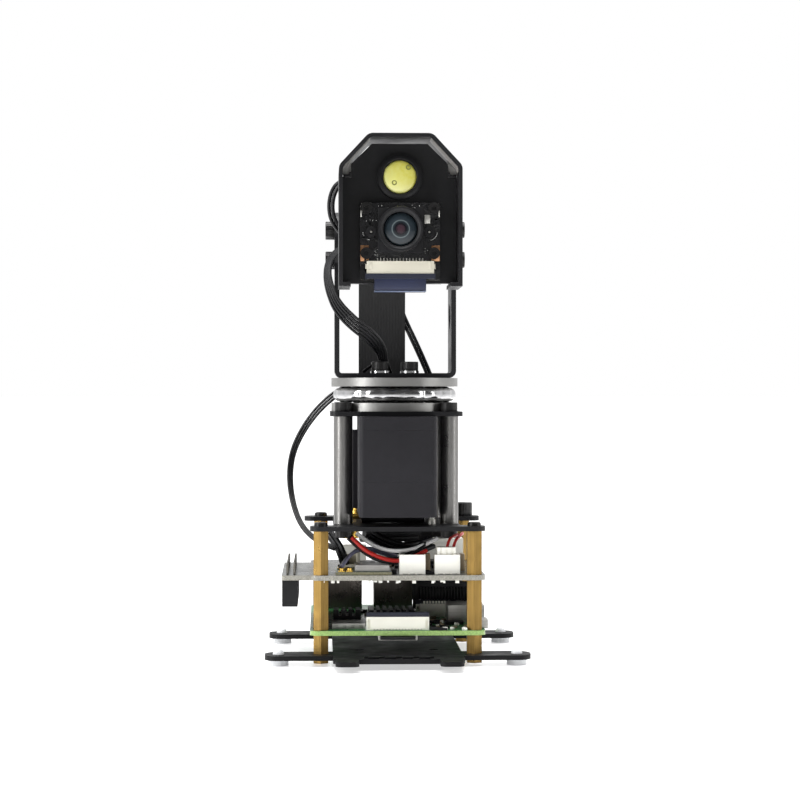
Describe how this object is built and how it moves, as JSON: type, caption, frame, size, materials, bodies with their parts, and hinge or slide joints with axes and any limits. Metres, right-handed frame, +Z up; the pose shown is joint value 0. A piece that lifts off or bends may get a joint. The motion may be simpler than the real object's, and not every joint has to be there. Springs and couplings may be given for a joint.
{
  "type": "pan tilt camera tower",
  "caption": "Pan-tilt camera tower: hooded camera head on a tilting servo and yoke, on a thrust bearing over a panning servo, on stacked circuit boards and a footed base plate.",
  "frame": {"origin": "on the surface under the four feet, on the pan axis, at the centre of the plan", "axes": "+Z up along the pan axis; the camera looks along -Y at rest; +X to the right of someone facing the camera"},
  "size_m": [0.0848, 0.112, 0.1664],
  "materials": {
    "black_anodised": "satin",
    "nylon": "satin",
    "brass": "brushed",
    "computer_pcb": "satin",
    "driver_pcb": "satin",
    "tin_plate": "satin",
    "port_metal": "satin",
    "white_plastic": "satin",
    "dark_plastic": "matt",
    "slate_plastic": "satin",
    "heat_sink": "anodised",
    "gold": "polished",
    "black_steel": "oxide",
    "steel": "satin",
    "bearing_steel": "polished",
    "servo_case": "fine grain",
    "black_sheet": "satin",
    "camera_pcb": "gloss",
    "lamp": "moulded",
    "glass": "coated",
    "cable_black": "satin",
    "cable_white": "satin",
    "cable_red": "satin",
    "ribbon": "satin",
    "card": "satin"
  },
  "bodies": {
    "root": {"base_plate": "black_anodised", "foot_pads": "nylon", "foot_rivets": "nylon", "standoffs": "brass", "computer_board": "computer_pcb", "rear_ports": "port_metal", "metal_ports": "tin_plate", "flat_cable_ports": "white_plastic", "flat_cable_latches": "slate_plastic", "radio_shields": "tin_plate", "heat_sinks": "heat_sink", "board_chips": "dark_plastic", "driver_board": "driver_pcb", "board_sockets": "dark_plastic", "board_pins": "gold", "radio_module": "driver_pcb", "driver_sockets": "white_plastic", "servo_plug": "white_plastic", "middle_deck": "black_sheet", "top_deck": "black_sheet", "posts": "steel", "deck_screws": "black_steel", "aerial_sockets": "gold", "pan_servo_case": "servo_case", "pan_servo_covers": "servo_case", "pan_servo_motor": "steel", "bearing_lower_washer": "bearing_steel", "main_lead": "cable_black", "white_lead": "cable_white", "red_lead": "cable_red", "lower_ribbon": "ribbon"},
    "card": {"memory_card": "card"},
    "cage": {"bearing_cage": "bearing_steel", "bearing_balls": "bearing_steel"},
    "turntable": {"bearing_upper_washer": "bearing_steel", "pan_coupler": "heat_sink", "yoke": "black_sheet", "yoke_screws": "black_steel", "yoke_washers": "bearing_steel", "tilt_horns": "heat_sink", "tilt_leads": "cable_black", "upper_ribbon": "ribbon"},
    "head": {"tilt_servo_case": "servo_case", "tilt_servo_covers": "servo_case", "tilt_servo_motor": "steel", "head_bracket": "black_sheet", "head_plate": "black_sheet", "hood": "black_sheet", "lamp_bezel": "dark_plastic", "lamp_lens": "lamp", "camera_board": "camera_pcb", "camera_screws": "black_steel", "lens_holder": "dark_plastic", "lens_barrel": "black_steel", "lens_glass": "glass", "ribbon_connector": "white_plastic", "ribbon_latch": "slate_plastic", "camera_ribbon": "ribbon", "lamp_lead": "cable_black"}
  },
  "joints": [
    {"name": "pan", "type": "hinge", "parent": "root", "child": "turntable", "pos_m": [0, 0, 0.0861], "axis": [0, 0, 1], "range_deg": [-120, 120]},
    {"name": "bearing_cage_spin", "type": "hinge", "parent": "root", "child": "cage", "pos_m": [0, 0, 0.0861], "axis": [0, 0, 1], "range_deg": [-60, 60]},
    {"name": "tilt", "type": "hinge", "parent": "turntable", "child": "head", "pos_m": [0, 0, 0.1357], "axis": [-1, 0, 0], "range_deg": [-30, 75]},
    {"name": "card_slide", "type": "slide", "parent": "root", "child": "card", "axis": [0, -1, 0], "range_m": [0, 0.012]}
  ],
  "couplings": [
    {"joint": "bearing_cage_spin", "follows": "pan", "ratio": 0.5}
  ]
}
